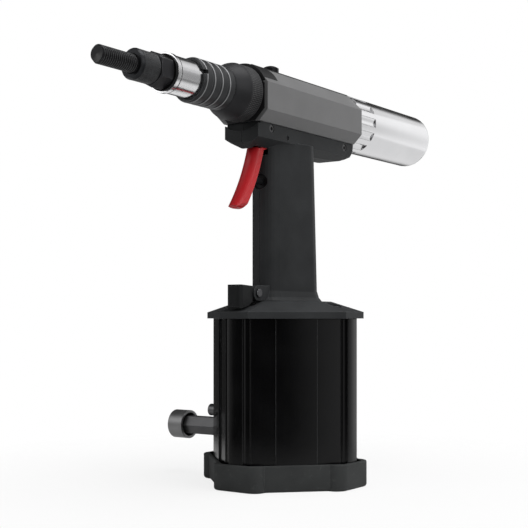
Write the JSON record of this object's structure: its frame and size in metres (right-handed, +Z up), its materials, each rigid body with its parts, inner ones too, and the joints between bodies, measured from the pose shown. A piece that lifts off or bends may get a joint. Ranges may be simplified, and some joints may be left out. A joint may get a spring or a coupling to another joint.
{
  "type": "rivet nut tool",
  "caption": "Pistol-grip hydro-pneumatic rivet nut tool with lobed air cylinder base, red trigger, stepped nose with threaded mandrel, grey side panels and bright rear air motor cup.",
  "frame": {"origin": "middle of the foot's underside, on the surface that the tool stands on", "axes": "+X towards the mandrel along the head, +Y to the tool's left, +Z up along the grip"},
  "size_m": [0.3385, 0.1405, 0.2598],
  "materials": {
    "rubber_foot": "matte moulded rubber",
    "black_anodised": "glossy black anodised extrusion",
    "cast_grey": "satin dark grey paint",
    "moulded_grey": "fine-grained dark grey moulding",
    "block_black": "satin black anodised",
    "panel_grey": "satin light grey moulding",
    "bright": "polished bright plating",
    "steel": "ground steel",
    "dark_steel": "black oxide",
    "grey_sleeve": "satin grey",
    "aluminium": "machined",
    "brass": "machined",
    "red": "semi-gloss red moulding",
    "seal": "matte seal rubber",
    "spring": "drawn spring wire",
    "vane": "fibre laminate",
    "foam": "open-cell foam"
  },
  "bodies": {
    "tool": {"foot": "rubber_foot", "end_cover": "aluminium", "air_cylinder": "black_anodised", "top_plate": "cast_grey", "tie_screws": "dark_steel", "pressure_tube": "steel", "gland_bush": "brass", "return_spring": "spring", "grip_left": "moulded_grey", "grip_right": "moulded_grey", "head_block": "block_black", "panel_left": "panel_grey", "panel_right": "panel_grey", "oil_plug": "dark_steel", "clamp_screws": "dark_steel", "cylinder_gland": "brass", "pull_spring": "spring", "gear_case": "steel", "motor_front_plate": "steel", "motor_liner": "steel", "motor_rear_plate": "steel", "silencer": "foam", "motor_housing": "bright", "nose_sleeve": "bright", "nose_ring": "bright", "nose_seals": "seal", "lock_nut": "dark_steel", "anvil": "dark_steel", "trigger_pin": "steel", "valve_body": "brass", "valve_spring": "spring", "lever_screw": "steel", "inlet_nipple": "steel", "vent_screw": "steel"},
    "ram": {"air_piston": "aluminium", "piston_seal": "seal", "plunger_rod": "steel"},
    "pull": {"pull_piston": "steel", "piston_ring": "seal"},
    "mandrel": {"mandrel_chuck": "steel", "mandrel": "dark_steel"},
    "shaft": {"drive_shaft": "steel"},
    "rotor": {"rotor": "steel", "vanes": "vane"},
    "dial": {"ribbed_sleeve": "grey_sleeve", "knurled_ring": "grey_sleeve"},
    "trigger": {"trigger": "red"},
    "valve": {"valve_stem": "steel"},
    "lever": {"stop_lever": "moulded_grey"},
    "collar": {"swivel_collar": "aluminium"}
  },
  "joints": [
    {"name": "ram_slide", "type": "slide", "parent": "tool", "child": "ram", "axis": [0, 0, 1], "range_m": [0, 0.03528], "stiffness_N_per_m": 300, "springref_m": -0.01, "deforming": ["return_spring"]},
    {"name": "pull_slide", "type": "slide", "parent": "tool", "child": "pull", "axis": [-1, 0, 0], "range_m": [0, 0.007], "deforming": ["pull_spring"]},
    {"name": "mandrel_spin", "type": "hinge", "parent": "pull", "child": "mandrel", "pos_m": [0.12, 0, 0.237], "axis": [1, 0, 0], "continuous": true},
    {"name": "shaft_spin", "type": "hinge", "parent": "tool", "child": "shaft", "pos_m": [0, 0, 0.237], "axis": [1, 0, 0], "continuous": true},
    {"name": "rotor_spin", "type": "hinge", "parent": "tool", "child": "rotor", "pos_m": [-0.1, 0, 0.237], "axis": [1, 0, 0], "continuous": true},
    {"name": "dial_turn", "type": "hinge", "parent": "tool", "child": "dial", "pos_m": [0.06, 0, 0.237], "axis": [1, 0, 0], "continuous": true},
    {"name": "trigger_pull", "type": "hinge", "parent": "tool", "child": "trigger", "pos_m": [0.0132, 0, 0.214], "axis": [0, 1, 0], "range_deg": [0, 9], "stiffness_Nm_per_rad": 0.8, "springref_deg": -11.46},
    {"name": "valve_slide", "type": "slide", "parent": "tool", "child": "valve", "axis": [-1, 0, 0], "range_m": [0, 0.005], "deforming": ["valve_spring"]},
    {"name": "lever_swing", "type": "hinge", "parent": "tool", "child": "lever", "pos_m": [0.0355, 0, 0.1184], "axis": [0, -1, 0], "range_deg": [0, 60]},
    {"name": "collar_turn", "type": "hinge", "parent": "tool", "child": "collar", "pos_m": [0, -0.081, 0.032], "axis": [0, -1, 0], "continuous": true}
  ],
  "couplings": [
    {"joint": "pull_slide", "follows": "ram_slide", "ratio": 0.19841},
    {"joint": "shaft_spin", "follows": "mandrel_spin", "ratio": 1},
    {"joint": "rotor_spin", "follows": "mandrel_spin", "ratio": 6},
    {"joint": "valve_slide", "follows": "trigger_pull", "m_per_rad": 0.031194}
  ]
}
